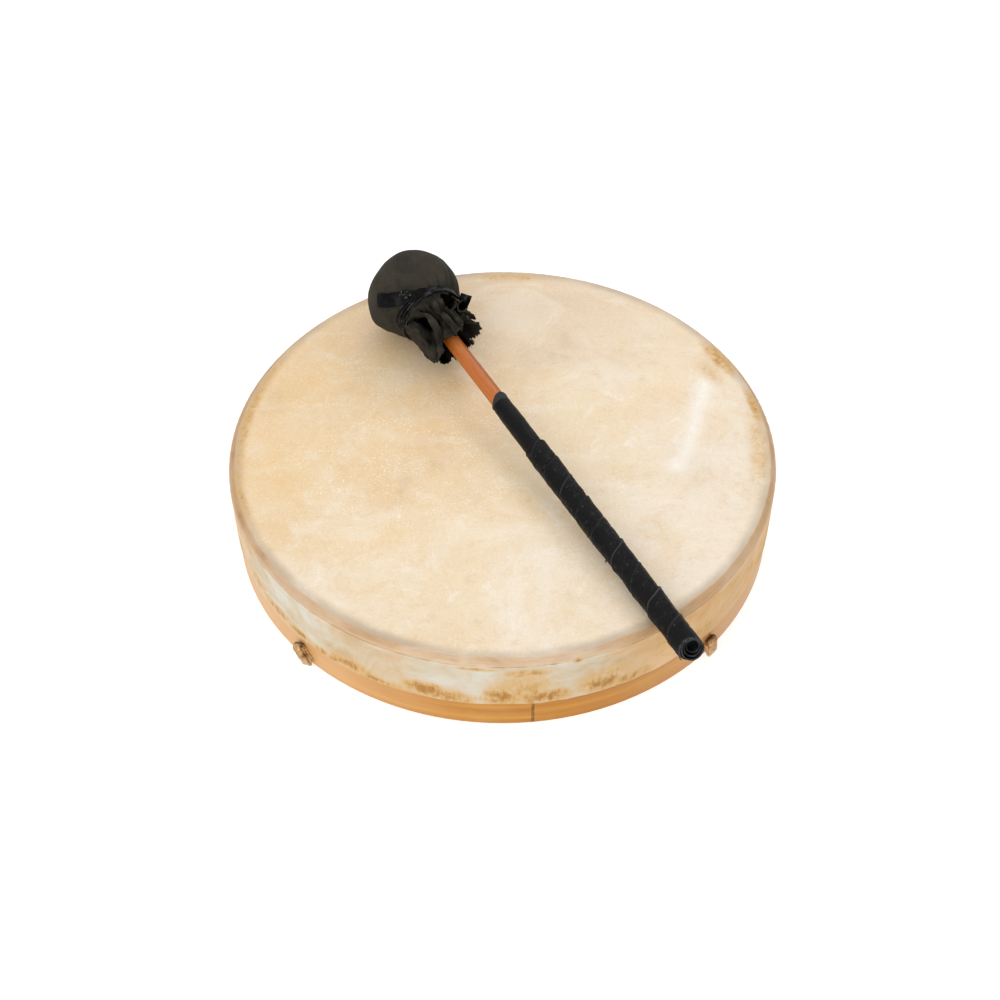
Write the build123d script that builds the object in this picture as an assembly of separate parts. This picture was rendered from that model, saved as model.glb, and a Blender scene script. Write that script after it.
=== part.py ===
from build123d import *
import math
import os

# Frame drum, 40 cm across, with its beater lying across the head.
# Millimetres. The origin is the centre of the hoop's bottom face, and +Z points up to the head.
# The player's side is -Y. Positions round the hoop are angles from -Y, positive towards +X.

# Hoop: one board, steamed and bent, with its ends glued in a scarf joint
DRUM_R = 200.0            # outside of the skin on the hoop's wall
DRUM_H = 70.0             # top of the head
SKIN_T = 0.8
HOOP_T = 9.0
BEARING_W = 4.6           # the sloping outer side of the bearing edge
BEARING_H = 5.2
HOOP_EASE = 1.0           # the board's other edges are eased by this much
SCARF_ANGLE = 5.6         # where the scarf's feather edge shows on the outside
SCARF_TURN = 11.7         # the scarf face runs this far round the hoop
SCARF_GAP = 0.35
COLLAR_BOTTOM = 24.0      # the skin stops here, and bare wood shows below

# Grip: two rawhide thongs that cross inside the hoop and are knotted outside it
THONG_R = 2.8
THONG_HOLE_R = 3.2
THONG_Z = 9.5
THONG_BOW = 3.0           # one thong passes this far under the other's level, and the other over
LASHING_R = 16.0
LASHING_H = 13.4

# Stop knots: name, angle, height up the hoop, width round it, how far it stands out, tilt
KNOTS = [
    ("stop_knot_front_left", -45.0, 20.0, 8.0, 5.5, 42.0),
    ("stop_knot_front_right", 46.0, 17.5, 10.0, 9.5, 6.0),
    ("stop_knot_back_right", 135.0, 18.0, 9.0, 7.0, -30.0),
    ("stop_knot_back_left", -134.0, 18.5, 8.5, 6.5, 24.0),
]

# Beater: it lies on the head at its ball and on the hoop's edge near the end of its handle
BALL_CENTRE = Vector(-67.3, 129.0, 105.8)
BEATER_END = Vector(120.6, -193.6, 76.8)
BALL_R = 35.5
COVER_T = 1.4
CORE_R = 22.0
STICK_R = 6.0
STICK_TOP = -18.0         # the stick's end inside the ball
NECK_START, NECK_END = 27.0, 33.0
NECK_R = 22.8             # many gathers of suede make the neck nearly as wide as the ball
SKIRT_END = 72.0
SKIRT_R = 26.0
SKIRT_MOUTH_R = 15.0
STRAP_W = 11.0
STRAP_T = 1.6
STRAP_END = Vector(-29.5, 20.0, 3.0)      # the strap's cut end, on the ball's upper left
STRAP_NECK = Vector(-16.0, 17.0, 27.0)    # where that end leaves the neck
KNOT_PLACE = Vector(-19.6, 21.0, 20.8)    # a lace is knotted over the strap here
LACE_R = 1.2
LACE_TURNS = 3
KNOT_R = 3.6
SLEEVE_START = 128.0
SLEEVE_R = 7.2
WRAP_START = 185.0
WRAP_TURNS = 7
WRAP_R = 9.1
WRAP_STEP = 0.7           # each turn starts this much lower than the one before ends
BUTT_R = 10.0
BUTT_LEN = 14.0
BUTT_HOLLOW_R = 3.4
BUTT_HOLLOW_DEPTH = 7.0

hoop_r = DRUM_R - SKIN_T
hoop_h = DRUM_H - SKIN_T
hoop_inner_r = hoop_r - HOOP_T
bearing_slope = math.atan2(BEARING_H, BEARING_W)
# The skin's inside corners, one thickness in from its outside ones
bearing_r = DRUM_R - BEARING_W - SKIN_T * math.tan(bearing_slope / 2)
bearing_z = DRUM_H - BEARING_H - SKIN_T * math.tan((math.pi / 2 - bearing_slope) / 2)

beater_axis = (BEATER_END - BALL_CENTRE).normalized()
beater_side = Vector(0, 0, 1).cross(beater_axis).normalized()
beater_plane = Plane(origin=BALL_CENTRE, x_dir=beater_side, z_dir=beater_axis)
beater_len = (BEATER_END - BALL_CENTRE).length


def turned(points):
    """A solid turned round the Z axis from (radius, height) points."""
    outline = Polyline(*[(r, 0, z) for r, z in points], close=True)
    return revolve(make_face(outline), axis=Axis.Z)


def ball(radius, centre=(0, 0, 0)):
    return Pos(*centre) * Sphere(radius)


def polar(radius, angle, z=0.0):
    """A point at an angle from -Y, positive towards +X."""
    a = math.radians(angle - 90)
    return Vector(radius * math.cos(a), radius * math.sin(a), z)


def outward(angle, z):
    """A place on the hoop's outer wall: X runs round the hoop, Y points down it, Z points outward."""
    out = polar(1, angle)
    return Plane(origin=polar(hoop_r, angle, z), x_dir=Vector(0, 0, 1).cross(out), z_dir=out).location


def on_beater(shape):
    """Moves a shape made along +Z from the ball's centre to where the beater lies."""
    return beater_plane.location * shape


# ---- the drum -------------------------------------------------------------------------------

def shell_hoop():
    board = turned([
        (hoop_inner_r + HOOP_EASE, 0), (hoop_r - HOOP_EASE, 0), (hoop_r, HOOP_EASE), (hoop_r, bearing_z),
        (bearing_r, hoop_h), (hoop_inner_r + HOOP_EASE, hoop_h), (hoop_inner_r, hoop_h - HOOP_EASE),
        (hoop_inner_r, HOOP_EASE),
    ])
    outside = polar(hoop_r, SCARF_ANGLE)
    inside = polar(hoop_inner_r, SCARF_ANGLE + SCARF_TURN)
    run = inside - outside
    cut = Plane(origin=(outside + inside) / 2 + Vector(0, 0, hoop_h / 2), x_dir=run, z_dir=(0, 0, 1))
    board -= cut.location * Box(run.length + 8, SCARF_GAP, hoop_h + 4)
    for name, angle, *size in KNOTS:
        board -= outward(angle, THONG_Z) * Cylinder(THONG_HOLE_R, 4 * HOOP_T)
    return board


def head_skin():
    return Pos(0, 0, DRUM_H - SKIN_T / 2) * Cylinder(bearing_r, SKIN_T)


def skin_collar():
    """The same hide where it turns over the bearing edge and down the hoop's wall."""
    return turned([
        (bearing_r, hoop_h), (bearing_r, DRUM_H), (DRUM_R - BEARING_W, DRUM_H), (DRUM_R, DRUM_H - BEARING_H),
        (DRUM_R, COLLAR_BOTTOM), (hoop_r, COLLAR_BOTTOM), (hoop_r, bearing_z),
    ])


def thong(from_angle, bow):
    """A rawhide thong from one stop knot to the opposite one, bowed where the two cross."""
    tip = hoop_r + 2.0
    path = ThreePointArc(polar(tip, from_angle, THONG_Z), (0, 0, THONG_Z + bow),
                         polar(tip, from_angle + 180, THONG_Z))
    section = Plane(origin=path @ 0, z_dir=path % 0) * Circle(THONG_R)
    return sweep(section, path=path)


def stop_knot(angle, height, width, depth, tilt, thongs):
    """A folded lump of rawhide outside the hoop, with the thong's end held in it."""
    lump = Box(height, width, depth, align=(Align.CENTER, Align.CENTER, Align.MIN))
    lump = fillet(lump.edges(), min(width, depth) * 0.42)
    lump = outward(angle, THONG_Z) * Rot(0, 0, 90 + tilt) * lump
    hoop = Pos(0, 0, hoop_h / 2) * Cylinder(hoop_r, hoop_h * 2)
    return lump - hoop - thongs


def grip_lashing(thongs):
    """The lashing that binds the two thongs where they cross."""
    bound = Pos(0, 0, THONG_Z) * Cylinder(LASHING_R, LASHING_H)
    bound = fillet(bound.edges().filter_by(GeomType.CIRCLE), LASHING_H * 0.36)
    return bound - thongs


# ---- the beater, made along +Z from the centre of its ball ----------------------------------

def beater_stick():
    stick = Pos(0, 0, STICK_TOP) * Cylinder(
        STICK_R, beater_len - BUTT_HOLLOW_DEPTH - STICK_TOP, align=(Align.CENTER, Align.CENTER, Align.MIN))
    return fillet(stick.edges().filter_by(GeomType.CIRCLE), 1.5)


def head_cover():
    """One suede round: a pouch over the ball, gathered at the neck, with its spare edge as a skirt."""
    pouch = ball(BALL_R) - ball(BALL_R - COVER_T)
    gathered = turned([
        (0, NECK_START - 4), (NECK_R, NECK_START - 4), (NECK_R, NECK_END),
        (SKIRT_R, NECK_END + 10), (SKIRT_R, SKIRT_END - 8), (SKIRT_R - 3, SKIRT_END),
        (SKIRT_MOUTH_R, SKIRT_END), (STICK_R, NECK_END + 8), (0, NECK_END + 8),
    ])
    return pouch + (gathered - ball(BALL_R - COVER_T))


def tie_strap(cover, lace):
    """A flat strap round the neck, with its cut end lying on the ball and the lace bedded in it."""
    band = turned([
        (NECK_R, NECK_START - 2), (NECK_R + STRAP_T, NECK_START - 2),
        (NECK_R + STRAP_T, NECK_END), (NECK_R, NECK_END),
    ])
    layer = ball(BALL_R + STRAP_T) - ball(BALL_R)
    middle = (STRAP_END + STRAP_NECK) / 2
    run = STRAP_NECK - STRAP_END
    lie = Plane(origin=middle, x_dir=run, z_dir=middle).location * Box(run.length, STRAP_W, 30)
    return band + (layer & lie) - ball(BALL_R) - cover - lace


def tie_lace():
    """Thin lace wound over the strap."""
    loop_r = NECK_R + STRAP_T + LACE_R
    first = NECK_END - LACE_R - (LACE_TURNS - 1) * 2 * LACE_R
    return [Pos(0, 0, first + i * 2 * LACE_R) * Torus(loop_r, LACE_R) for i in range(LACE_TURNS)]


def tie_knot(lace):
    return ball(KNOT_R, KNOT_PLACE.normalized() * (BALL_R + STRAP_T)) - ball(BALL_R + STRAP_T) - lace


def strap_tail():
    """The strap's other end, standing up beside the knot."""
    lace_r = NECK_R + STRAP_T + 2 * LACE_R
    tail = Pos(lace_r + 3, 10, NECK_END - 4) * Rot(0, 80, 25) * Box(STRAP_T, 8, 14)
    return tail - Pos(0, 0, NECK_END) * Cylinder(lace_r, 60) - ball(BALL_R)


def handle_sleeve():
    """The leather sleeve glued round the stick, cut at a slant where it starts."""
    end = beater_len - BUTT_HOLLOW_DEPTH
    tube = turned([(STICK_R, SLEEVE_START), (SLEEVE_R, SLEEVE_START), (SLEEVE_R, end), (STICK_R, end)])
    slant = Pos(0, 0, SLEEVE_START - 4) * Rot(0, -24, 0) * Box(40, 40, 10)
    return tube - slant


def handle_wrap():
    """Strip leather wound in overlapping turns, each turn lapping the one below it."""
    end = beater_len + BUTT_HOLLOW_DEPTH - BUTT_LEN
    pitch = (end - WRAP_START) / WRAP_TURNS
    outside = []
    for i in range(WRAP_TURNS):
        start = WRAP_START + i * pitch
        outside += [(WRAP_R - WRAP_STEP, start), (WRAP_R, start + pitch)]
    return turned([(SLEEVE_R, WRAP_START)] + outside + [(SLEEVE_R, end)])


def butt_roll():
    """The strip's last turn, rolled over the stick's end with a hollow in the middle."""
    end = beater_len + BUTT_HOLLOW_DEPTH
    start = end - BUTT_LEN
    return turned([
        (SLEEVE_R, start), (BUTT_R - 0.6, start), (BUTT_R, start + 4), (BUTT_R, end - 2), (BUTT_R - 2, end),
        (BUTT_HOLLOW_R, end), (BUTT_HOLLOW_R, end - BUTT_HOLLOW_DEPTH), (SLEEVE_R, end - BUTT_HOLLOW_DEPTH - 4),
    ])


def main():
    thong_lower = thong(-45, -THONG_BOW)
    thong_upper = thong(46, THONG_BOW)
    thongs = thong_lower + thong_upper
    stick = beater_stick()
    cover = head_cover() - stick
    lace = tie_lace()
    parts = {
        "shell_hoop": shell_hoop(),
        "head_skin": head_skin(),
        "skin_collar": skin_collar(),
        "grip_thong_lower": thong_lower,
        "grip_thong_upper": thong_upper,
        "grip_lashing": grip_lashing(thongs),
    }
    for name, angle, height, width, depth, tilt in KNOTS:
        parts[name] = stop_knot(angle, height, width, depth, tilt, thongs)
    beater = {
        "beater_stick": stick,
        "beater_core": ball(CORE_R) - stick,
        "beater_padding": ball(BALL_R - COVER_T) - ball(CORE_R) - stick,
        "head_cover": cover,
        "tie_strap": tie_strap(cover, lace),
        "tie_lace": Compound(children=lace),
        "tie_knot": tie_knot(lace),
        "strap_tail": strap_tail(),
        "handle_sleeve": handle_sleeve(),
        "handle_wrap": handle_wrap(),
        "butt_roll": butt_roll() - stick,
    }
    for name, shape in beater.items():
        parts[name] = on_beater(shape)
    os.makedirs("parts", exist_ok=True)
    for name, shape in parts.items():
        export_step(shape, f"parts/{name}.step")


main()
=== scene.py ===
import math

import bpy
import numpy as np
from mathutils import Matrix, Vector


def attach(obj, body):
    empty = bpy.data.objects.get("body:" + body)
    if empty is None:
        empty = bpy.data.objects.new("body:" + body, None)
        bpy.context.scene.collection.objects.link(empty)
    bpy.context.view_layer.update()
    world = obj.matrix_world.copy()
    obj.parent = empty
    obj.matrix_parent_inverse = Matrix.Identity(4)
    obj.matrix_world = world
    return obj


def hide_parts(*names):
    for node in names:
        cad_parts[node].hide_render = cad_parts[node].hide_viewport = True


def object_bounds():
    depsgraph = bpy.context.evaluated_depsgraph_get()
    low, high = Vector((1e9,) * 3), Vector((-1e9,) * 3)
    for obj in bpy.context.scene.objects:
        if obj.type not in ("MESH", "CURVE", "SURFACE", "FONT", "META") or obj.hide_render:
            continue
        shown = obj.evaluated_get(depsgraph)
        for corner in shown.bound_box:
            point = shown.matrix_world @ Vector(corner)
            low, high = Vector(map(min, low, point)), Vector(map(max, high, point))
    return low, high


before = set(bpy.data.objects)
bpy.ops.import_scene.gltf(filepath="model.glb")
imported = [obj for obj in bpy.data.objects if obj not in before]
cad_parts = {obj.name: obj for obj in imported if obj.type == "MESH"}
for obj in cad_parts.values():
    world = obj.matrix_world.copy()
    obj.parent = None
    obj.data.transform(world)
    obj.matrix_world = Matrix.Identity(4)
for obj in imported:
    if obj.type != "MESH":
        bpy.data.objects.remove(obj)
cad_low, cad_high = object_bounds()

MM = 0.001
TAU = 2 * math.pi

# ---- sizes, in millimetres and degrees, as the CAD has them ----------------------------------

DRUM_R = 200.0
DRUM_H = 70.0
SKIN_T = 0.8
HOOP_R = DRUM_R - SKIN_T
HOOP_T = 9.0
COLLAR_BOTTOM = 24.0
SCARF_ANGLE = 5.6
SCARF_TURN = 11.7
THONG_Z = 9.5

BALL_CENTRE = np.array([-67.3, 129.0, 105.8])
BEATER_END = np.array([120.6, -193.6, 76.8])
STICK_R = 6.0
SLEEVE_START = 129.5
SLEEVE_R = 7.2

# Beater points are (side, up, along): along runs from the middle of the ball to the handle's end
BEATER_LEN = float(np.linalg.norm(BEATER_END - BALL_CENTRE))
beater_axis = (BEATER_END - BALL_CENTRE) / BEATER_LEN
beater_side = np.cross([0, 0, 1], beater_axis)
beater_side /= np.linalg.norm(beater_side)
beater_up = np.cross(beater_axis, beater_side)
BEATER_FRAME = Matrix([
    [*(float(axis[i]) for axis in (beater_side, beater_up, beater_axis)), float(BALL_CENTRE[i]) * MM]
    for i in range(3)
] + [[0, 0, 0, 1]])


# ---- numbers ---------------------------------------------------------------------------------

NOISE_CELLS = 64
NOISE_START = 500       # keeps every point on the positive side of the noise's grid


def noise(points, size, seed):
    """Smooth noise from -1 to 1 with lumps about size across, at (..., 3) points."""
    table = np.random.default_rng(seed).uniform(-1, 1, (NOISE_CELLS,) * 3)
    p = np.asarray(points, float) / size + NOISE_START
    cell = np.floor(p).astype(int)
    f = p - cell
    f = f * f * (3 - 2 * f)
    total = np.zeros(p.shape[:-1])
    for corner in np.ndindex(2, 2, 2):
        weight = np.prod(np.where(np.array(corner) == 1, f, 1 - f), axis=-1)
        i = (cell + corner) % NOISE_CELLS
        total += weight * table[i[..., 0], i[..., 1], i[..., 2]]
    return total


def fbm(points, size, seed, octaves=3):
    """Noise with finer noise on it."""
    return sum(noise(points, size / 2**k, seed + k) / 2**k for k in range(octaves))


def shaken(points, amount, size, seed):
    """points, each pushed its own way by noise."""
    return points + amount * np.stack([fbm(points, size, seed + k) for k in range(3)], axis=-1)


def smooth(low, high, x):
    """0 at low, 1 at high, and a smooth step between."""
    t = np.clip((x - low) / (high - low), 0, 1)
    return t * t * (3 - 2 * t)


def bell(x, width, power=2):
    """1 where x is 0, falling away within width on both sides."""
    return np.exp(-(np.abs(x) / width) ** power)


def turn_between(a, b):
    """How far a is past b, in degrees, the short way round."""
    return (a - b + 180) % 360 - 180


def unit(v):
    return v / np.maximum(np.linalg.norm(v, axis=-1, keepdims=True), 1e-9)


def turned(radius, angle, along):
    """Points round the Z axis, at an angle in radians."""
    return np.stack(np.broadcast_arrays(radius * np.cos(angle), radius * np.sin(angle), along), axis=-1)


def circle(count):
    """Equal angles, in radians, once round."""
    return np.arange(count) * TAU / count


def spline(points, count, closed=False):
    """count points along a smooth line through the given ones."""
    p = np.asarray(points, float)
    n = len(p)
    if closed:
        t = np.arange(count) * n / count
        i = np.floor(t).astype(int)
        a, b, c, d = (p[(i + k) % n] for k in (-1, 0, 1, 2))
    else:
        t = np.linspace(0, n - 1, count)
        i = np.minimum(np.floor(t).astype(int), n - 2)
        a, b, c, d = (p[np.clip(i + k, 0, n - 1)] for k in (-1, 0, 1, 2))
    u = (t - i)[:, None]
    return 0.5 * (2 * b + (c - a) * u + (2 * a - 5 * b + 4 * c - d) * u**2
                  + (3 * b - a - 3 * c + d) * u**3)


# ---- meshes ----------------------------------------------------------------------------------

def grid_faces(rows, cols, wrap_cols=True, wrap_rows=False):
    """Quads over a grid of rows x cols vertices."""
    r = np.arange(rows if wrap_rows else rows - 1)
    c = np.arange(cols if wrap_cols else cols - 1)
    r, c = np.meshgrid(r, c, indexing="ij")
    r2, c2 = (r + 1) % rows, (c + 1) % cols
    quads = np.stack([r * cols + c, r * cols + c2, r2 * cols + c2, r2 * cols + c], axis=-1)
    return [tuple(int(k) for k in q) for q in quads.reshape(-1, 4)]


def add_piece(name, verts, faces, material, body, slot, replaced=()):
    """A mesh piece from points in millimetres that rides on a CAD body and stands for its nodes."""
    mesh = bpy.data.meshes.new(name)
    mesh.from_pydata([tuple(v) for v in np.asarray(verts, float) * MM], [], faces)
    mesh.validate()
    mesh.polygons.foreach_set("use_smooth", np.ones(len(mesh.polygons), bool))
    mesh.materials.append(material)
    piece = bpy.data.objects.new(name, mesh)
    bpy.context.scene.collection.objects.link(piece)
    if body == "beater":
        piece.matrix_world = BEATER_FRAME
    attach(piece, body)
    if replaced:
        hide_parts(*replaced)
    return piece


def set_value(piece, name, values):
    """A number on every vertex, for the material to read."""
    data = piece.data.attributes.new(name, "FLOAT", "POINT")
    data.data.foreach_set("value", np.asarray(values, np.float32))


def join_parts(parts):
    """One list of vertices and faces from several."""
    verts, faces, base = [], [], 0
    for v, f in parts:
        verts.append(np.asarray(v, float))
        faces += [tuple(i + base for i in face) for face in f]
        base += len(v)
    return np.vstack(verts), faces


def ring_sweep(rings, closed=False, flip=False):
    """A tube from a list of equal rings of points, with its ends closed unless it joins up.

    flip turns the faces over, for rings that run anticlockwise seen from the tube's far end."""
    rings = np.asarray(rings, float)
    rows, cols = rings.shape[:2]
    faces = grid_faces(rows, cols, wrap_rows=closed)
    if not closed:
        faces.append(tuple(range(cols))[::-1])
        faces.append(tuple(range((rows - 1) * cols, rows * cols)))
    if flip:
        faces = [face[::-1] for face in faces]
    return rings.reshape(-1, 3), faces


def frames_along(path, up, closed=False):
    """Side and upward unit vectors along a path, with up near the given directions."""
    if closed:
        tangent = unit(np.roll(path, -1, axis=0) - np.roll(path, 1, axis=0))
    else:
        tangent = unit(np.gradient(path, axis=0))
    up = np.broadcast_to(np.asarray(up, float), path.shape)
    up = unit(up - np.sum(up * tangent, axis=1, keepdims=True) * tangent)
    return np.cross(tangent, up), up


def oval(width, height, count, square=2.0):
    """A ring of points; square above 2 makes its corners fuller."""
    a = circle(count)
    c, s = np.cos(a), np.sin(a)
    shape = (np.abs(c) ** square + np.abs(s) ** square) ** (-1 / square)
    return np.stack([width / 2 * c * shape, height / 2 * s * shape], axis=1)


def carried(path, side, up, section, size=1.0):
    """A ring of section's points, in side and up, at every point of a path."""
    size = np.broadcast_to(size, len(path))[:, None, None]
    return path[:, None] + side[:, None] * (section[:, :1] * size) + up[:, None] * (section[:, 1:] * size)


def sweep(path, up, section, closed=False, size=1.0):
    """A tube of the given section along a path."""
    return ring_sweep(carried(path, *frames_along(path, up, closed), section, size), closed)


def grid_normals(points, wrap_cols=True):
    """Unit normals of a grid of points, rows x columns."""
    down = np.gradient(points, axis=0)
    if wrap_cols:
        across = np.roll(points, -1, axis=1) - np.roll(points, 1, axis=1)
    else:
        across = np.gradient(points, axis=1)
    return unit(np.cross(across, down))


def relief(points, reach):
    """How far each point of a grid, round in its columns, stands proud of its neighbours."""
    mean = np.zeros_like(points)
    for step in (-reach, reach):
        row = np.clip(np.arange(len(points)) + step, 0, len(points) - 1)
        mean += points[row] + np.roll(points, step, axis=1)
    return np.sum((points - mean / 4) * grid_normals(points), axis=-1)


def thick_grid(points, thickness, wrap_cols=True):
    """A closed sheet from a grid of points, with its other face thickness behind."""
    behind = points - grid_normals(points, wrap_cols) * thickness
    rows, cols = points.shape[:2]
    both = np.concatenate([points, behind[::-1]])
    faces = grid_faces(2 * rows, cols, wrap_cols, wrap_rows=True)
    if not wrap_cols:
        for side in (0, cols - 1):
            loop = [r * cols + side for r in range(2 * rows)]
            for k in range(rows - 1):
                quad = (loop[k], loop[k + 1], loop[2 * rows - 2 - k], loop[2 * rows - 1 - k])
                faces.append(quad if side else quad[::-1])
    return both.reshape(-1, 3), faces


def threads(roots, headings, lengths, thickness, seed):
    """Short fibres, each bending its own way and thinning to its tip."""
    section = oval(thickness, thickness, 5)
    t = np.linspace(0, 1, 7)
    sway = unit(np.random.default_rng(seed).normal(size=(len(roots), 3)))
    parts = []
    for root, heading, length, bend in zip(roots, unit(np.asarray(headings, float)), lengths, sway):
        path = root + np.outer(t, heading) * length + np.outer(t**2, bend) * length * 0.5
        parts.append(sweep(path, np.cross(heading, bend), section, size=1 - 0.6 * t))
    return join_parts(parts)


# ---- materials -------------------------------------------------------------------------------

def srgb(r, g, b):
    """A linear colour from 0 to 255 screen values."""
    def linear(c):
        c /= 255
        return c / 12.92 if c <= 0.04045 else ((c + 0.055) / 1.055) ** 2.4
    return (linear(r), linear(g), linear(b), 1.0)


class Paint:
    """A material and short ways to add nodes to it. Colours are 0 to 255 screen values."""

    def __init__(self, name, roughness, specular=0.5):
        self.material = bpy.data.materials.new(name)
        self.material.use_nodes = True
        self.tree = self.material.node_tree
        self.shader = self.tree.nodes["Principled BSDF"]
        self.set("Roughness", roughness)
        self.set("Specular IOR Level", specular)
        self.place = self.node("TexCoord").outputs["Object"]

    def put(self, socket, value):
        if isinstance(value, bpy.types.NodeSocket):
            self.tree.links.new(value, socket)
        else:
            socket.default_value = srgb(*value) if socket.type == "RGBA" else value

    def set(self, name, value):
        self.put(self.shader.inputs[name], value)

    def node(self, kind, *values, **settings):
        """A node with its settings made and values in its first inputs."""
        made = self.tree.nodes.new("ShaderNode" + kind)
        for key, value in settings.items():
            setattr(made, key, value)
        for socket, value in zip(made.inputs, values):
            self.put(socket, value)
        return made

    def math(self, operation, *values):
        return self.node("Math", *values, operation=operation).outputs[0]

    def add(self, a, b):
        return self.math("ADD", a, b)

    def times(self, first, *others):
        for other in others:
            first = self.math("MULTIPLY", first, other)
        return first

    def range(self, value, low, high, out_low=0.0, out_high=1.0):
        """value from low..high to out_low..out_high, with smooth ends."""
        return self.node("MapRange", value, low, high, out_low, out_high,
                         interpolation_type="SMOOTHSTEP").outputs[0]

    def mix(self, amount, under, over):
        made = self.node("Mix", data_type="RGBA")
        for index, value in ((0, amount), (6, under), (7, over)):
            self.put(made.inputs[index], value)
        return made.outputs[2]

    def tint(self, under, value, low, high, amount, over):
        """Up to amount of the colour over where value runs from low to high."""
        return self.mix(self.range(value, low, high, 0, amount), under, over)

    def ramp(self, value, *stops):
        made = self.node("ValToRGB", value)
        elements = made.color_ramp.elements
        while len(elements) < len(stops):
            elements.new(0.5)
        for element, (position, colour) in zip(elements, stops):
            element.position = position
            element.color = srgb(*colour)
        return made.outputs["Color"]

    def axis(self, index, source=None):
        return self.node("SeparateXYZ", self.at(source)).outputs[index]

    def at(self, source):
        return self.place if source is None else source

    def joined(self, x, y, z):
        return self.node("CombineXYZ", x, y, z).outputs[0]

    def stretch(self, x, y, z, source=None):
        """The place with each axis scaled, so that a texture is drawn out along the small ones."""
        return self.node("VectorMath", self.at(source), (x, y, z), operation="MULTIPLY").outputs[0]

    def noise(self, scale, detail=3.0, rough=0.55, warp=0.0, source=None):
        made = self.node("TexNoise", self.at(source))
        named = (("Scale", scale), ("Detail", detail), ("Roughness", rough), ("Distortion", warp))
        for name, value in named:
            made.inputs[name].default_value = value
        return made.outputs["Fac"]

    def cells(self, scale, feature="F1", output="Distance"):
        made = self.node("TexVoronoi", self.place, feature=feature)
        made.inputs["Scale"].default_value = scale
        return made.outputs[output]

    def attribute(self, name):
        return self.node("Attribute", attribute_name=name).outputs["Fac"]

    def bump(self, *layers):
        """Bump from (height, depth in millimetres) layers, one on the other."""
        normal = None
        for height, depth in layers:
            made = self.node("Bump")
            made.inputs["Distance"].default_value = depth * MM
            made.inputs["Strength"].default_value = 1.0
            self.put(made.inputs["Height"], height)
            if normal is not None:
                self.put(made.inputs["Normal"], normal)
            normal = made.outputs["Normal"]
        self.set("Normal", normal)

    def finish(self, colour, roughness=None):
        self.set("Base Color", colour)
        if roughness is not None:
            self.set("Roughness", roughness)
        return self.material


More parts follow.
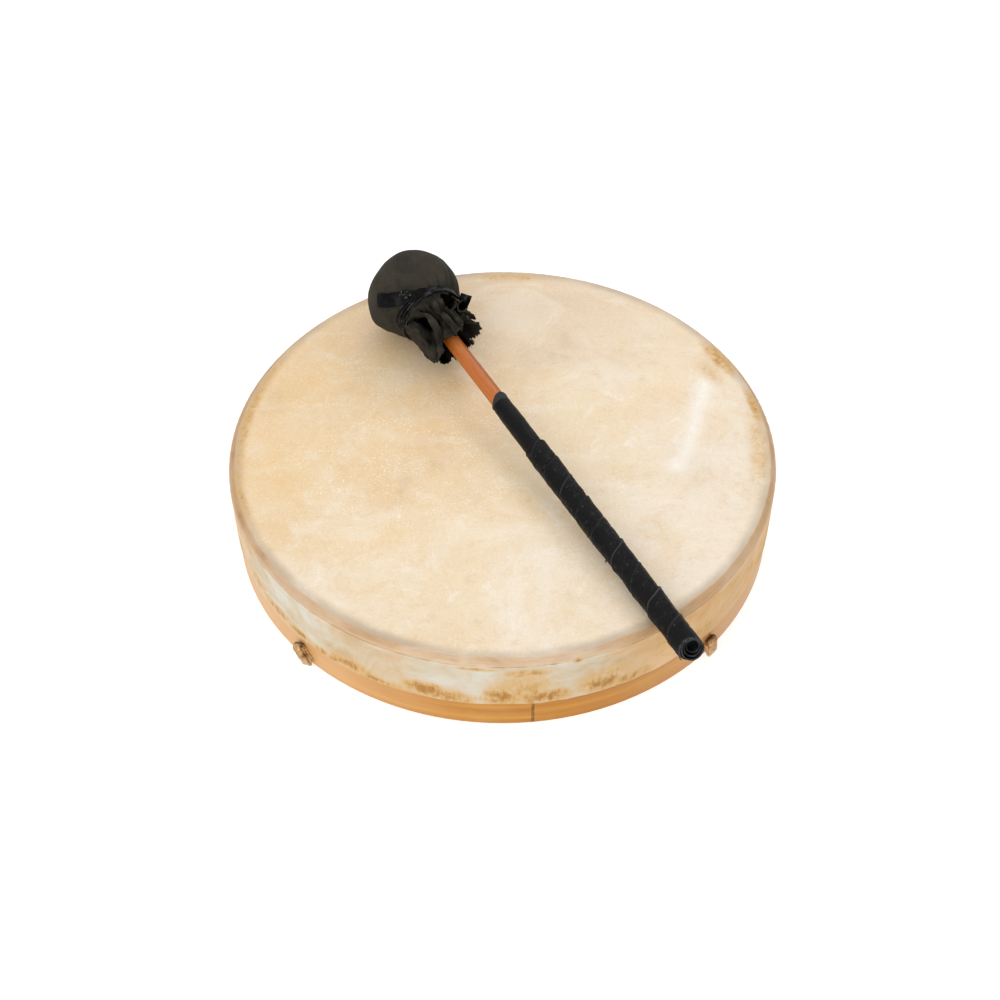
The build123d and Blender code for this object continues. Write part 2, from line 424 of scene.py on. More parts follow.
def rawhide_head():
    p = Paint("rawhide_head", roughness=0.42, specular=0.45)
    # Rawhide lets some light through, which warms its shadows
    p.set("Subsurface Weight", 0.12)
    p.set("Subsurface Scale", 0.008)
    p.set("Subsurface Radius", (1.0, 0.7, 0.45))
    x, y, z = (p.axis(k) for k in range(3))
    radius = p.math("SQRT", p.add(p.times(x, x), p.times(y, y)))
    across = p.math("SUBTRACT", z, radius)

    def ring(along_rate, across_rate):
        """A place round the rim, with its own rate along the rim and across it."""
        return p.joined(p.times(x, along_rate), p.times(y, along_rate), p.times(across, across_rate))

    cloud = p.noise(9, 5, 0.62, 0.8)
    vein = p.noise(26, 6, 0.68, 1.6)
    fine = p.noise(150, 4, 0.65)
    speck = p.noise(620, 3, 0.7)
    colour = p.ramp(cloud, (0.30, (235, 208, 168)), (0.48, (241, 219, 187)), (0.64, (245, 230, 208)))
    colour = p.tint(colour, vein, 0.50, 0.72, 0.5, (234, 198, 150))
    colour = p.tint(colour, vein, 0.44, 0.30, 0.6, (252, 242, 228))
    colour = p.tint(colour, fine, 0.48, 0.75, 0.22, (214, 172, 122))
    # Warmer and tanner towards the left; darker, pinker and greyer at the far side, partly the hide's tone
    # and partly painted shade
    left = p.times(p.range(x, 0.11, -0.10), p.range(y, -0.15, -0.02),
                   p.range(p.noise(10, 4, 0.6, 0.5), 0.25, 0.6))
    colour = p.mix(p.times(left, 0.8), colour, (238, 199, 142))
    far = p.times(p.range(y, 0.05, 0.17), p.range(p.noise(11, 4, 0.6, 0.5), 0.2, 0.6))
    colour = p.mix(p.times(far, 0.75), colour, (229, 202, 171))
    # Paler clouds lie over both, then a painted highlight: the pale glare streak of the back light
    drift = p.noise(1.0, 5, 0.62, 0.9, p.stretch(15, 22, 20))
    colour = p.tint(colour, drift, 0.50, 0.68, 0.5, (248, 233, 211))
    streak = p.times(p.attribute("pale"), p.range(fine, 0.25, 0.6, 0.7, 1.0))
    colour = p.mix(streak, colour, (255, 250, 240))
    colour = p.tint(colour, speck, 0.52, 0.78, 0.20, (196, 152, 104))
    colour = p.tint(colour, speck, 0.46, 0.26, 0.40, (255, 248, 236))
    # Pores, and painted highlights: bright flecks painted into the colour as glints off the scraped grain
    pore = p.range(p.cells(520), 0.0, 0.30, 1, 0)
    colour = p.mix(p.times(pore, 0.22), colour, (206, 168, 120))
    clump = p.range(p.noise(60, 5, 0.75, 0.6), 0.42, 0.58)
    painted_glint = p.times(clump, p.attribute("painted_glint"))
    for scale, size, share in ((230, 0.17, 0.58), (380, 0.24, 0.46), (640, 0.34, 0.34)):
        spot = p.range(p.cells(scale), size * 0.5, size, 1, 0)
        chosen = p.range(p.axis(0, p.cells(scale, output="Color")), share, share + 0.06)
        colour = p.mix(p.times(spot, chosen, painted_glint), colour, (255, 251, 240))
    # Where the hide touches the bearing edge
    around = ring(1.0, 0.25)
    wander = p.times(p.add(p.noise(60, 3, 0.6, 0.0, around), -0.5), 0.004)
    r = p.add(radius, wander)
    touch = p.times(p.range(r, 0.1865, 0.1948), p.range(z, 0.0665, 0.0685))
    shade = p.range(p.noise(14, 3, 0.6, 0.0, around), 0.3, 0.7, 0.35, 0.95)
    colour = p.mix(p.times(touch, shade), colour, (194, 172, 148))
    # Round the bend and the wall the fibres lie along the rim
    lines = p.noise(1.0, 4, 0.65, 0.2, ring(35, 900))
    patch = p.noise(1.0, 5, 0.62, 0.5, ring(25, 34))
    bend = p.times(p.range(r, 0.1943, 0.1962), p.range(z, 0.0630, 0.0650))
    over = p.ramp(patch, (0.3, (206, 164, 120)), (0.5, (224, 188, 150)), (0.7, (230, 206, 176)))
    over = p.tint(over, lines, 0.52, 0.70, 0.45, (172, 124, 82))
    over = p.tint(over, x, -0.04, -0.15, 0.4, (192, 154, 118))
    colour = p.mix(p.times(bend, 0.9), colour, over)
    # The collar down the hoop's wall: chalky at the front, tan at the sides
    wall = p.range(z, 0.0655, 0.0638)
    tan = p.attribute("tan")
    over = p.ramp(patch, (0.28, (194, 162, 120)), (0.42, (207, 188, 156)), (0.58, (215, 206, 188)))
    over = p.tint(over, lines, 0.54, 0.7, 0.22, (170, 136, 98))
    blotch = p.range(p.noise(1.0, 4, 0.6, 0.9, ring(45, 40)), 0.5, 0.68, 0, 0.8)
    over = p.mix(p.times(blotch, p.add(p.times(tan, 0.6), 0.4)), over, (208, 166, 118))
    side = p.ramp(patch, (0.3, (210, 152, 84)), (0.55, (228, 178, 116)), (0.75, (234, 198, 148)))
    over = p.mix(p.times(tan, 0.9), over, side)
    fibre = p.times(p.range(lines, 0.50, 0.70, 0, 0.28), tan)
    over = p.mix(fibre, over, (182, 130, 78))
    colour = p.mix(wall, colour, over)
    colour = p.mix(p.times(bend, tan, 0.6), colour, (204, 154, 100))
    # The corner between the head and the bend, browned in places
    corner = p.times(p.range(z, 0.0700, 0.0693), p.range(z, 0.0655, 0.0672),
                     p.range(patch, 0.3, 0.6, 1.0, 0.35), p.attribute("brown"))
    colour = p.mix(corner, colour, (168, 118, 66))
    # The crease under the bend: a dark line of painted shade in it, with a pale line of painted highlight
    # below it
    crease = p.times(p.range(z, 0.06525, 0.06485), p.range(z, 0.0640, 0.06445))
    colour = p.mix(p.times(crease, p.range(patch, 0.38, 0.56, 0.75, 0.08)), colour, (160, 116, 76))
    below = p.times(p.range(z, 0.0640, 0.0637), p.range(z, 0.0626, 0.0632))
    colour = p.mix(p.times(below, p.range(patch, 0.35, 0.65, 0.1, 0.5)), colour, (234, 218, 192))
    # Stains, placed by the mesh and broken up here
    upright = p.noise(1.0, 4, 0.62, 0.4, ring(420, 120))
    spread = p.noise(1.0, 4, 0.58, 0.8, ring(120, 100))
    broken = p.add(p.times(upright, 1.1), p.times(spread, 1.7))
    placed = p.attribute("stain")
    level = p.add(placed, p.add(broken, -1.4))
    stain = p.times(p.range(level, 0.10, 1.15), p.range(placed, 0.06, 0.34))
    halo = p.times(p.range(placed, 0.04, 0.50, 0, 0.85), p.range(spread, 0.25, 0.55, 0.55, 1.0))
    colour = p.mix(halo, colour, (214, 170, 108))
    over = p.ramp(p.range(level, 0.15, 1.25), (0.10, (212, 166, 96)), (0.45, (196, 142, 58)),
                  (0.9, (170, 112, 24)))
    colour = p.mix(p.times(stain, 0.95), colour, over)
    fibrous = p.math("MAXIMUM", bend, p.times(wall, 0.6))
    p.bump((p.noise(420, 3, 0.6), 0.12), (p.times(lines, fibrous), 0.45), (p.cells(520), 0.06))
    shine = p.range(cloud, 0.35, 0.65, 0.34, 0.48)
    return p.finish(colour, p.add(shine, p.times(wall, 0.15)))


def hoop_wood():
    p = Paint("hoop_wood", roughness=0.38, specular=0.32)
    x, y, z = (p.axis(k) for k in range(3))
    radius = p.math("SQRT", p.add(p.times(x, x), p.times(y, y)))
    # The board is measured round the hoop from its scarf joint, so the grain breaks only there
    start = math.radians(SCARF_ANGLE - 90)
    lean = p.times(p.add(radius, -HOOP_R * MM), -math.radians(SCARF_TURN) / (HOOP_T * MM))
    turn = p.add(p.math("ARCTAN2", y, x), p.math("SUBTRACT", -start, lean))
    along = p.times(p.math("FLOORED_MODULO", turn, TAU), DRUM_R * MM)
    board = p.joined(along, z, radius)
    grain = p.noise(1.0, 6, 0.62, 0.4, p.stretch(5, 230, 160, board))
    line = p.noise(1.0, 3, 0.6, 0.2, p.stretch(14, 900, 500, board))
    figure = p.noise(1.0, 3, 0.5, 0.3, p.stretch(16, 22, 22, board))
    colour = p.ramp(grain, (0.28, (174, 108, 22)), (0.48, (190, 126, 34)), (0.68, (206, 146, 54)))
    colour = p.tint(colour, line, 0.5, 0.68, 0.3, (158, 94, 32))
    colour = p.tint(colour, figure, 0.5, 0.75, 0.4, (214, 162, 90))
    # Painted reflection: the sides are paler, as the white surroundings glance off the varnish there
    colour = p.tint(colour, x, -0.01, -0.15, 0.5, (232, 190, 140))
    colour = p.tint(colour, x, 0.06, 0.18, 0.4, (232, 190, 140))
    # The scarf's glue line
    near = p.math("MINIMUM", along, p.math("SUBTRACT", TAU * DRUM_R * MM, along))
    near = p.add(near, p.times(p.noise(300, 3, 0.6), 0.0012))
    colour = p.tint(colour, near, 0.0022, 0.0009, 0.8, (110, 66, 26))
    p.bump((grain, 0.12), (line, 0.10))
    return p.finish(colour, p.range(grain, 0.3, 0.7, 0.34, 0.46))


def black_suede():
    p = Paint("black_suede", roughness=0.95)
    # Where painted shade darkens the folds, the sheen and the specular are taken away as well
    inner = p.attribute("inner")
    p.set("Sheen Weight", p.range(inner, 0, 1, 0.14, 0.0))
    p.set("Specular IOR Level", p.range(inner, 0, 1, 0.12, 0.0))
    p.set("Sheen Roughness", 0.45)
    p.set("Sheen Tint", (150, 145, 130))
    cloud = p.noise(38, 4, 0.6, 0.4)
    nap = p.noise(1300, 3, 0.7)
    colour = p.ramp(cloud, (0.30, (38, 35, 30)), (0.52, (51, 48, 42)), (0.72, (62, 58, 52)))
    colour = p.tint(colour, p.noise(16, 3, 0.5), 0.45, 0.7, 0.5, (60, 53, 38))
    colour = p.tint(colour, nap, 0.45, 0.75, 0.30, (90, 85, 73))
    # Rubbed wear, and painted highlights where the mesh marks ridges, cut edges and glints
    colour = p.mix(p.attribute("wear_and_highlight"), colour, (104, 99, 84))
    # Painted shade: nearly black where the mesh marks folds and hollows
    colour = p.mix(inner, colour, (7, 6, 5))
    p.bump((nap, 0.25), (p.noise(260, 3, 0.6), 0.25))
    return p.finish(colour)


def black_leather(name, shine, specular):
    p = Paint(name, shine, specular)
    cloud = p.noise(45, 4, 0.6, 0.3)
    grain = p.cells(900, "DISTANCE_TO_EDGE")
    crease = p.noise(1.0, 4, 0.65, 1.2, p.stretch(260, 260, 90))
    colour = p.ramp(cloud, (0.3, (9, 9, 10)), (0.55, (14, 14, 15)), (0.75, (23, 23, 25)))
    colour = p.tint(colour, crease, 0.56, 0.74, 0.35, (42, 42, 44))
    colour = p.mix(p.attribute("wear_and_highlight"), colour, (104, 105, 108))
    # Painted shade: nearly black where the mesh marks it, as on the butt's core
    colour = p.mix(p.attribute("inner"), colour, (6, 6, 7))
    p.bump((crease, 0.5), (grain, 0.08))
    return p.finish(colour, p.range(cloud, 0.3, 0.7, shine - 0.06, shine + 0.14))


def stick_wood():
    p = Paint("stick_wood", roughness=0.42, specular=0.45)
    grain = p.noise(1.0, 5, 0.6, 0.3, p.stretch(420, 420, 14))
    streak = p.noise(1.0, 4, 0.6, 0.5, p.stretch(150, 150, 10))
    colour = p.ramp(grain, (0.28, (172, 92, 32)), (0.48, (188, 104, 40)), (0.7, (200, 118, 52)))
    colour = p.tint(colour, streak, 0.48, 0.75, 0.3, (208, 134, 68))
    colour = p.tint(colour, p.noise(260, 4, 0.65, 0.5), 0.45, 0.72, 0.28, (150, 74, 26))
    # Painted shade: the stick is painted darker and redder on one side
    shaded_side = p.times(p.range(p.axis(0), -0.001, 0.006), 0.55)
    colour = p.mix(shaded_side, colour, (150, 62, 20))
    p.bump((grain, 0.15))
    return p.finish(colour)


def rawhide_strip():
    p = Paint("rawhide_strip", roughness=0.5, specular=0.4)
    cloud = p.noise(190, 4, 0.65, 0.8)
    fibre = p.noise(700, 4, 0.7, 0.6)
    colour = p.ramp(cloud, (0.28, (124, 76, 36)), (0.45, (184, 136, 80)), (0.6, (212, 170, 114)),
                    (0.75, (224, 196, 150)))
    colour = p.tint(colour, fibre, 0.49, 0.66, 0.75, (92, 52, 20))
    colour = p.mix(p.attribute("stain"), colour, (70, 36, 12))
    colour = p.mix(p.attribute("wear_and_highlight"), colour, (212, 190, 148))
    p.bump((cloud, 0.5), (fibre, 0.3))
    return p.finish(colour)


# ---- the hide --------------------------------------------------------------------------------

# Brown stains on the collar: angle, height, half width in degrees, half height, strength
COLLAR_STAINS = [
    (3.5, 41, 7.5, 15, 0.60), (-13.0, 31, 7.5, 8, 0.56), (20.5, 38, 7.0, 12, 0.60),
    (-33, 26, 15, 4.5, 0.45), (-15.5, 32, 4.6, 8, 1.0), (-10.5, 28, 5.0, 7, 1.0),
    (-0.6, 32, 3.4, 12, 0.95), (4.6, 57, 4.6, 4.2, 0.85), (3.0, 46, 3.4, 9, 0.6),
    (7.5, 30, 5.4, 7.5, 1.1), (19.5, 33, 4.6, 8.5, 1.1), (25.5, 29, 5.0, 6, 0.8),
    (-25.0, 26, 7.0, 3.4, 0.85), (-31.5, 30, 4.4, 6.6, 1.0), (-38.0, 26, 5.0, 3.8, 0.9),
    (-45.0, 28, 5.0, 4.0, 0.8), (-52.5, 30, 5.5, 5.5, 0.9), (-60, 35, 4.5, 9, 0.55),
    (42, 34, 7, 12, 0.45), (33, 50, 5, 7, 0.4), (-63, 60, 3, 6, 0.6), (-5, 62, 4, 2.0, 0.6),
    (14, 64, 0.8, 1.6, 1.0), (52, 56, 6, 8, 0.4), (70, 32, 6, 8, 0.8), (96, 30, 8, 6, 0.7),
    (121, 38, 5, 11, 0.8), (150, 29, 9, 5, 0.8), (172, 33, 5, 9, 0.6), (-72, 30, 6, 6, 0.7),
    (-98, 33, 9, 8, 0.7), (-127, 28, 6, 5, 0.9), (-152, 36, 7, 10, 0.6),
]
# Stains near the head's rim: angle, radius, half width in degrees, half width in mm, strength
HEAD_STAINS = [
    (118, 190, 6.0, 6, 1.0), (115, 176, 7.0, 10, 0.42), (101, 192, 7, 4, 0.75), (178, 189, 10, 6, 0.5),
    (-152, 190, 12, 7, 0.35), (-100, 191, 24, 5, 0.55), (-75, 193, 12, 4, 0.5), (88, 188, 20, 10, 0.42),
]
# A painted highlight on the right: the pale glare streak of the back light
PAINTED_GLARE = [(154, 62), (149, 44), (142, 14), (134, -8), (126, -24)]
HIDE_COLUMNS = 512
HEM_Z = 25.2            # where the profile below ends
INNER_FACE_Z = DRUM_H - SKIN_T


def polar(radius, angle, z=0.0):
    """A point at an angle in degrees from -Y, positive towards +X."""
    return turned(radius, math.radians(angle - 90), z)


def hide_profile():
    """(radius, height) from the middle of the head out, over the bend and down the wall."""
    head = [(r, DRUM_H) for r in np.linspace(2.0, 184, 52)]
    touch = [(r, DRUM_H) for r in np.linspace(186, 194, 9)]
    bend = [(195.0, 69.95), (195.7, 69.65), (196.4, 69.1), (197.1, 68.35), (197.8, 67.5), (198.5, 66.65),
            (199.1, 65.9), (199.55, 65.3), (199.72, 64.95), (199.62, 64.6), (199.78, 64.2), (199.9, 63.6)]
    wall = [(199.92, z) for z in np.linspace(62.6, HEM_Z, 38)]
    return np.array(head + touch + bend + wall)


def inner_profile():
    """(radius, height) up the hide's inner face and in to the middle."""
    wall = [(HOOP_R + 0.02, z) for z in (30, 40, 50, 60, 64.2)]
    bend = [(198.2, 66.2), (196.6, 68.0), (195.0, INNER_FACE_Z), (191, INNER_FACE_Z)]
    return wall + bend + [(r, INNER_FACE_Z) for r in np.linspace(184, 2.0, 12)]


def drum_hide():
    profile = hide_profile()
    angle = circle(HIDE_COLUMNS)
    radius = np.repeat(profile[:, :1], HIDE_COLUMNS, axis=1)
    height = np.repeat(profile[:, 1:], HIDE_COLUMNS, axis=1)
    place = turned(radius, angle, height)
    wide = fbm(place * [1, 1, 0.4], 46, 11)
    fine = fbm(place, 5.0, 17)
    # Wrinkles are drawn out across the rim, so they are read off a line round it
    ring = turned(DRUM_R, angle, 0.12 * (radius - height))
    pleat = fbm(ring, 4.2, 23)
    hair = fbm(ring, 1.5, 29, 2)
    on_head = smooth(194, 180, radius)
    on_bend = smooth(192, 197, radius) * smooth(58, 64, height)
    on_wall = smooth(66, 60, height)
    dent = 0.16 * (wide - 0.6) * on_head + 0.02 * fine * smooth(196, 150, radius)
    height = height + np.minimum(dent, 0.0) - 0.10 * on_bend * np.abs(pleat)
    radius = radius - on_bend * (0.18 * np.abs(pleat) + 0.10 * np.abs(hair))
    hollow = 0.16 * np.clip(pleat + 0.3, 0, 2) + 0.10 * np.abs(hair) + 0.12 * np.clip(wide, 0, 1)
    radius = radius - on_wall * hollow
    # The hem is cut by hand
    sway = fbm(ring[0], 34, 31) * 0.9 + fbm(ring[0], 6, 37) * 0.35
    height = height - smooth(40, 25, height) * (HEM_Z - COLLAR_BOTTOM - sway)
    outer = turned(radius, angle, height)
    hem = [turned(radius[-1] + dr, angle, height[-1] + dz) for dr, dz in ((0, -0.25), (-0.3, -0.55))]
    hem.append(turned(HOOP_R + 0.02, angle, height[-1] - 0.5))
    inner = [turned(r, angle, z) for r, z in inner_profile()]
    verts, faces = ring_sweep(np.concatenate([outer, hem, inner]), flip=True)
    piece = add_piece("drum_hide", verts, faces, hide, "drum", "rawhide_skin",
                      ("head_skin", "skin_collar"))
    x, y, z = verts.T
    turn = np.degrees(np.arctan2(x, -y))
    r = np.hypot(x, y)
    stain = np.zeros(len(verts))
    for place, level, half, tall, strength in COLLAR_STAINS:
        spot = bell(turn_between(turn, place), half) * bell(z - level, tall)
        stain = np.maximum(stain, strength * spot * (r > 197))
    for place, level, half, across, strength in HEAD_STAINS:
        spot = bell(turn_between(turn, place), half) * bell(r - level, across)
        stain = np.maximum(stain, 0.75 * strength * spot * (z > 64))
    set_value(piece, "stain", stain)
    sides = smooth(13, 36, turn) + smooth(-60, -72, turn)
    set_value(piece, "tan", np.clip(sides + 0.3 * fbm(verts, 40, 43), 0, 1))
    behind = np.maximum(smooth(60, 110, turn), smooth(-40, -75, turn))
    set_value(piece, "brown", np.clip(0.18 + 0.7 * behind + 0.35 * fbm(verts, 26, 47), 0, 1))
    # The painted glints show most left of the middle
    away = np.linalg.norm((verts - [-60, 10, 70]) / [110, 100, 60], axis=1)
    set_value(piece, "painted_glint", 0.22 + 0.78 * bell(away, 1))
    # Painted highlight: the back light's glare streak, which the material paints pale
    streak = spline(PAINTED_GLARE, 40)
    apart = np.min(np.linalg.norm(verts[:, None, :2] - streak, axis=2), axis=1)
    set_value(piece, "pale", 0.8 * bell(apart, 6.5) * (z > 68))


# ---- the beater ------------------------------------------------------------------------------

POUCH_CENTRE = np.array([-2.4, -0.1, 3.9])
POUCH_R = 35.0
TIE_CENTRE = np.array([-1.6, 0.8, 0.0])
TIE_ALONG = 28.2
# Lumps in the padding: direction from the pouch's middle, height, half width in degrees
POUCH_LUMPS = [
    ((-0.56, 0.28, -0.78), -2.6, 22), ((-0.11, 0.52, -0.85), -1.2, 22), ((0.515, 0.62, -0.59), 0.1, 22),
    ((-0.92, -0.39, -0.02), 1.8, 20), ((-0.66, -0.58, 0.42), -3.4, 22), ((0.915, 0.15, 0.375), 0.5, 20),
    ((0, -1, -0.1), -0.7, 26),
]
# Pleats where the suede is drawn in under the tie: angle round the neck, depth, half width, reach
POUCH_PLEATS = [
    (101, 1.2, 3.0, 7), (84, 2.4, 3.2, 12), (66, 2.8, 3.4, 15), (50, 1.8, 2.6, 9), (37, 2.4, 3.6, 17),
    (20, 1.6, 3.4, 12), (6, 1.8, 4.0, 12), (186, 1.4, 4.5, 13), (204, 2.0, 5.0, 15), (166, 0.8, 4.0, 7),
    (-12, 2.0, 4.0, 13), (-33, 2.4, 4.4, 16), (-56, 1.8, 3.6, 11), (-71, 2.6, 4.6, 17),
    (-96, 1.8, 3.6, 12), (-115, 2.4, 4.4, 16), (-139, 2.0, 4.4, 13),
]


def tie_ring(angle, along, radius):
    """Points round the tied neck, at an angle in degrees."""
    return TIE_CENTRE + turned(radius, np.radians(angle), along)


def ball_cover():
    """The suede over the ball, from the ball's far end to the neck and in to the stick."""
    neck = math.radians(134)
    angle, down = np.meshgrid(circle(256), np.linspace(0.02, neck, 96))
    direction = turned(np.sin(down), angle, -np.cos(down))
    r = POUCH_R + 0.45 * fbm(direction * POUCH_R, 15, 51)
    for towards, lift, half in POUCH_LUMPS:
        apart = np.degrees(np.arccos(np.clip(direction @ unit(np.array(towards)), -1, 1)))
        r = r + lift * bell(apart, half)
    gap = POUCH_R * (neck - down)
    for place, depth, half, reach in POUCH_PLEATS:
        away = turn_between(np.degrees(angle), place + 0.25 * gap)
        fold = bell(away, half) - 0.45 * bell(away - 1.8 * half, 1.3 * half)
        r = r - depth * fold * bell(gap, reach, 1.4)
    points = POUCH_CENTRE + direction * r[..., None]
    # Drawn in to the tie
    pull = smooth(9, 0, gap)[..., None]
    points = points * (1 - pull) + tie_ring(np.degrees(angle), TIE_ALONG - 2.0, 22.6) * pull
    inward = [tie_ring(np.degrees(angle[0]), TIE_ALONG + ahead, radius)
              for ahead, radius in ((0, 22.3), (2, 21), (3, 12), (3, 6.3))]
    verts, faces = ring_sweep(np.concatenate([points, inward]), flip=True)
    piece = add_piece("ball_cover", verts, faces, suede, "beater", "black_suede",
                      ("head_cover", "beater_padding", "beater_core"))
    set_value(piece, "wear_and_highlight", 0.12 * np.clip(fbm(verts * [1, 1, 0.4], 9, 61), 0, 1))


# The hollow behind the first fold, which is painted dark as shade
FOLD_HOLE = np.array([-8.0, 5.0, 38.0])
# The gathered skirt, rib by rib: angle at the neck, then a point half way down and one at the hem
SKIRT_RIBS = [
    (200, (-21.0, -8.6, 36), (-20.0, -8.0, 61)), (188, (-23.2, -1.0, 43), (-21.4, -4.0, 67.6)),
    (177, (-21.6, 7.0, 42.5), (-20.1, -1.8, 72.8)), (170, (-15.0, 5.4, 37.5), (-17.6, -0.6, 71)),
    (164, (-8.4, 2.6, 35.0), (-15.4, 0.8, 70.5)), (158, (-6.2, 8.2, 41.5), (-15.2, 2.4, 70.5)),
    (152, (-12.9, 17.2, 46.5), (-18.6, 4.1, 74)), (145, (-12.4, 20.2, 48), (-17.8, 6.7, 75)),
    (138, (-8.6, 17.4, 49.5), (-14.6, 6.2, 71.5)), (131, (-6.4, 8.4, 47), (-9.4, 5.0, 61)),
    (124, (-4.6, 13.8, 49), (-7.6, 10.4, 64)), (116, (-1.6, 14.4, 51), (-2.8, 12.4, 66)),
    (109, (-1.4, 10.4, 49), (0.4, 10.8, 66)), (102, (-4.2, 19.6, 49), (-0.8, 17.6, 69)),
    (97, (-2.2, 22.8, 51), (0.6, 20.4, 70)), (92, (0.4, 19.6, 50), (2.6, 16.2, 68)),
    (86, (3.2, 22.2, 50), (5.8, 18.6, 66)), (78, (6.6, 19.4, 47.5), (9.2, 15.8, 60)),
    (71, (8.2, 13.0, 43), (11.4, 12.4, 54)), (64, (12.4, 14.6, 42), (14.6, 13.2, 52)),
    (56, (15.4, 15.8, 42), (19.2, 14.6, 53)), (47, (17.6, 12.4, 47), (21.0, 10.6, 57)),
    (38, (12.4, 9.0, 47), (13.8, 8.8, 57)), (28, (16.0, 11.4, 51), (18.2, 13.8, 64)),
    (16, (18.6, 6.4, 50), (19.4, 8.4, 67.5)), (4, (19.0, 0.0, 48), (17.4, 0.8, 65.5)),
    (-8, (12.6, -4.0, 46), (13.2, -3.6, 61)), (-20, (18.2, -9.0, 46), (17.4, -8.8, 61)),
    (-33, (15.2, -14.0, 46), (14.6, -14.2, 60)), (-46, (9.2, -10.4, 44), (9.4, -11.2, 58)),
    (-59, (10.6, -18.2, 45), (9.8, -18.2, 60)), (-74, (4.0, -20.6, 45), (3.0, -20.4, 61)),
    (-87, (0.4, -13.4, 44), (-0.2, -14.6, 63)), (-99, (-4.0, -20.4, 45), (-4.6, -18.4, 64)),
    (-112, (-9.8, -19.4, 44), (-10.6, -16.8, 64)), (-124, (-8.8, -12.4, 42), (-12.0, -13.4, 63)),
    (-138, (-14.6, -15.0, 42), (-15.8, -13.4, 62)), (-150, (-19.0, -12.4, 37), (-19.2, -12.0, 60)),
]


def cover_skirt():
    """The cover's spare edge, gathered below the tie."""
    cols, rows = 408, 46
    ribs = []
    for angle, middle, hem in reversed(SKIRT_RIBS):
        under = tie_ring(angle, TIE_ALONG - 3.0, 22.4)
        out = tie_ring(angle, TIE_ALONG + 3.6, 22.8)
        ribs.append(spline([under, out, middle, hem], rows))
    points = np.stack([spline(level, cols, closed=True) for level in zip(*ribs)])
    down = np.linspace(0, 1, rows)[:, None]
    turn = np.degrees(np.arctan2(points[..., 1], points[..., 0]))
    # The side away from the first fold is crumpled and torn
    ragged = smooth(52, 36, turn) * smooth(-125, -60, turn)
    lump = fbm(points, 8, 71)
    crinkle = fbm(points * [1, 1, 0.45], 3.0, 73) - 0.8 * np.abs(fbm(points * [1, 1, 0.6], 5.5, 75))
    crumple = np.abs(fbm(points, 4.2, 77))
    shift = 0.95 * lump * smooth(0.1, 0.6, down) + 0.55 * crinkle * smooth(0.12, 0.4, down)
    shift = shift + 0.5 * smooth(0.1, 0.3, down)
    shift = shift + (2.4 * crumple - 0.4) * ragged * smooth(0.25, 0.6, down)
    points = points + grid_normals(points) * shift[..., None]
    torn = fbm(points[-1], 1.7, 79) * (1.3 + 1.2 * ragged[-1]) + fbm(points[-1], 7, 83) * 1.2
    points[..., 2] += torn * smooth(0.82, 1.0, down)
    piece = add_piece("cover_skirt", *thick_grid(points, 1.1), suede, "beater", "black_suede")
    # Painted shade in the first fold, round the stick, in every dip and on the underside; pale on the cut
    # edge, and on the ridges rubbed wear with painted highlights
    hole = bell(np.linalg.norm(points - FOLD_HOLE, axis=-1), 11.0, 4)
    pit_shade = np.maximum(hole, 0.5 * smooth(15, 8, np.hypot(points[..., 0], points[..., 1])))
    proud = relief(points, 3)
    inner = np.maximum(pit_shade, 0.36 - 0.2 * ragged + 0.55 * smooth(0.1, -1.0, proud))
    underside_shade = 1 - 0.55 * ragged[::-1]
    set_value(piece, "inner", np.concatenate([inner, underside_shade]).ravel())
    shaded = 0.05 * smooth(44, 34, turn) * smooth(-60, -40, turn) * smooth(44, 52, points[..., 2])
    ridge = 0.28 * smooth(0.1, 0.7, proud) * (1 - shaded)
    wear_and_highlight = np.maximum(np.maximum(0.45 * smooth(0.955, 1.0, down), ridge), 0.10 * lump.clip(0, 1))
    set_value(piece, "wear_and_highlight", np.concatenate([wear_and_highlight, 0 * wear_and_highlight]).ravel())
    hem_fray(points, ragged)


def hem_fray(points, ragged):
    """Fibres along the skirt's torn hem, and a few loose ones beside the tie."""
    rng = np.random.default_rng(171)
    hem = points[-1]
    chosen = np.flatnonzero(rng.uniform(size=len(hem)) < 0.10 + 0.5 * ragged[-1])
    down = unit(hem - points[-4])[chosen]
    headings = down + 0.55 * rng.normal(size=down.shape)
    lengths = rng.uniform(0.9, 2.2, len(chosen))
    beside = [(-20.6 - 0.1 * k, -8.2, 32.0 + 1.1 * k) for k in range(6)]
    out = [(-0.8, -0.5, 0.3 - 0.1 * k) for k in range(6)]
    verts, faces = threads(np.vstack([hem[chosen] - 0.6 * down, beside]), np.vstack([headings, out]),
                           np.concatenate([lengths, rng.uniform(2.0, 3.4, 6)]), 0.36, 173)
    piece = add_piece("skirt_fray", verts, faces, suede, "beater", "black_suede")
    set_value(piece, "wear_and_highlight", np.full(len(verts), 0.1))
    return piece


